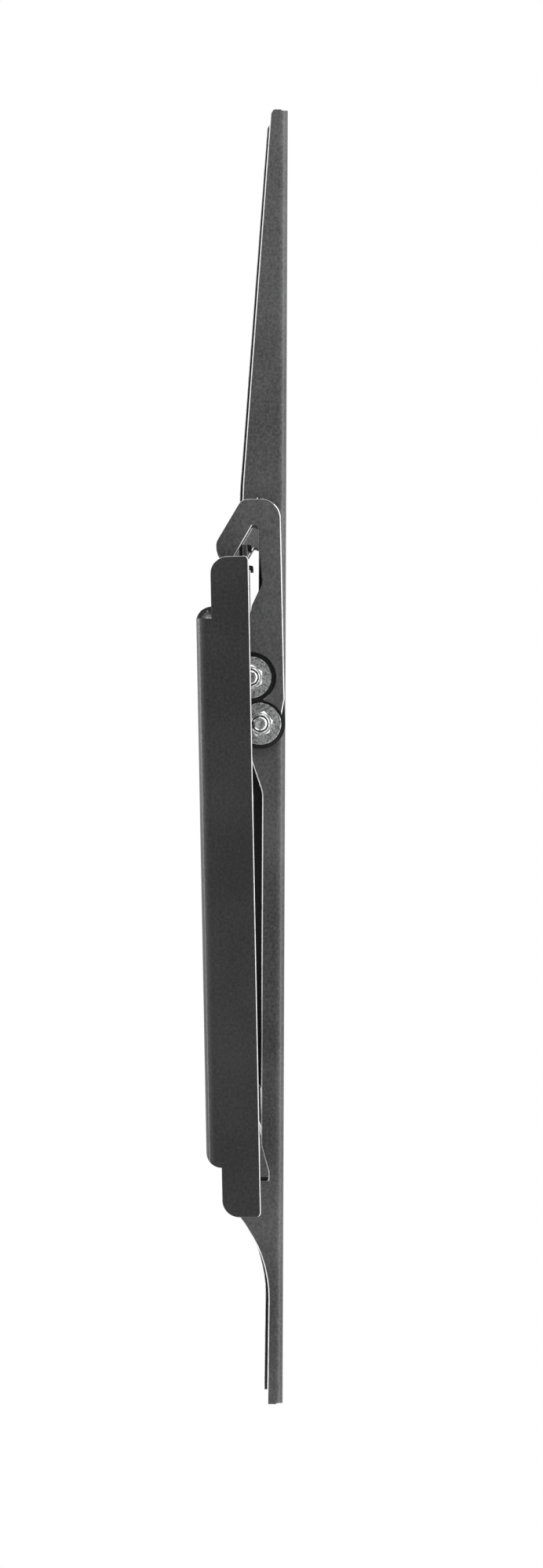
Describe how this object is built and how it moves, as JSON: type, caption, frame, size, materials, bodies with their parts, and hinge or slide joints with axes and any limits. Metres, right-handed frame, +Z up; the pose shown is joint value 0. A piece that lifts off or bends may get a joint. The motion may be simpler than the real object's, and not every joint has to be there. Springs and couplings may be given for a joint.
{
  "type": "tilting television wall mount",
  "caption": "Low-profile tilting wall mount for a television: a formed wall plate with rails, and upright arms that hang on them by tilting hook brackets.",
  "frame": {"origin": "centre of the wall plate's back face", "axes": "+X along the wall plate, to the right as seen from the television's side; +Y into the wall, so the television side is -Y; +Z up"},
  "size_m": [0.6, 0.0357, 0.4625],
  "materials": {
    "plate_powder_coat": "smooth black powder coat",
    "arm_powder_coat": "fine-grained charcoal powder coat",
    "hook_powder_coat": "fine-grained dark powder coat",
    "link_black_coat": "flat black coat",
    "zinc_plated_steel": "mottled bright zinc plating",
    "zinc_sleeve": "turned steel with zinc plating",
    "black_nylon": "moulded black nylon"
  },
  "bodies": {
    "wall_plate": {"wall_plate": "plate_powder_coat"},
    "left_glide": {"left_rail_glide": "black_nylon"},
    "left_hook": {"left_inner_hook_plate": "hook_powder_coat", "left_inner_link_plate": "link_black_coat", "left_outer_hook_plate": "hook_powder_coat", "left_outer_link_plate": "link_black_coat", "left_pivot_bolt": "zinc_plated_steel", "left_pivot_friction_washers": "black_nylon", "left_pivot_nut": "zinc_plated_steel", "left_pivot_sleeve": "zinc_sleeve", "left_pivot_washers": "zinc_plated_steel", "left_tilt_bolt": "zinc_plated_steel", "left_tilt_friction_washers": "black_nylon", "left_tilt_nut": "zinc_plated_steel", "left_tilt_sleeve": "zinc_sleeve", "left_tilt_washers": "zinc_plated_steel"},
    "left_arm": {"left_arm": "arm_powder_coat"},
    "right_glide": {"right_rail_glide": "black_nylon"},
    "right_hook": {"right_inner_hook_plate": "hook_powder_coat", "right_inner_link_plate": "link_black_coat", "right_outer_hook_plate": "hook_powder_coat", "right_outer_link_plate": "link_black_coat", "right_pivot_bolt": "zinc_plated_steel", "right_pivot_friction_washers": "black_nylon", "right_pivot_nut": "zinc_plated_steel", "right_pivot_sleeve": "zinc_sleeve", "right_pivot_washers": "zinc_plated_steel", "right_tilt_bolt": "zinc_plated_steel", "right_tilt_friction_washers": "black_nylon", "right_tilt_nut": "zinc_plated_steel", "right_tilt_sleeve": "zinc_sleeve", "right_tilt_washers": "zinc_plated_steel"},
    "right_arm": {"right_arm": "arm_powder_coat"}
  },
  "joints": [
    {"name": "left_rail_slide", "type": "slide", "parent": "wall_plate", "child": "left_glide", "axis": [-1, 0, 0], "range_m": [-0.1, 0.06]},
    {"name": "left_bracket_tilt", "type": "hinge", "parent": "left_glide", "child": "left_hook", "pos_m": [-0.2, -0.0364, 0.1127], "axis": [-1, 0, 0], "range_deg": [0, 20]},
    {"name": "left_arm_pivot", "type": "hinge", "parent": "left_hook", "child": "left_arm", "pos_m": [-0.2, -0.02166, 0.05738], "axis": [1, 0, 0], "range_deg": [0, 26.6]},
    {"name": "right_rail_slide", "type": "slide", "parent": "wall_plate", "child": "right_glide", "axis": [1, 0, 0], "range_m": [-0.1, 0.06]},
    {"name": "right_bracket_tilt", "type": "hinge", "parent": "right_glide", "child": "right_hook", "pos_m": [0.2, -0.0364, 0.1127], "axis": [-1, 0, 0], "range_deg": [0, 20]},
    {"name": "right_arm_pivot", "type": "hinge", "parent": "right_hook", "child": "right_arm", "pos_m": [0.2, -0.02166, 0.05738], "axis": [1, 0, 0], "range_deg": [0, 26.6]}
  ],
  "couplings": [
    {"joint": "left_arm_pivot", "follows": "left_bracket_tilt", "ratio": 1.33},
    {"joint": "right_arm_pivot", "follows": "right_bracket_tilt", "ratio": 1.33}
  ]
}
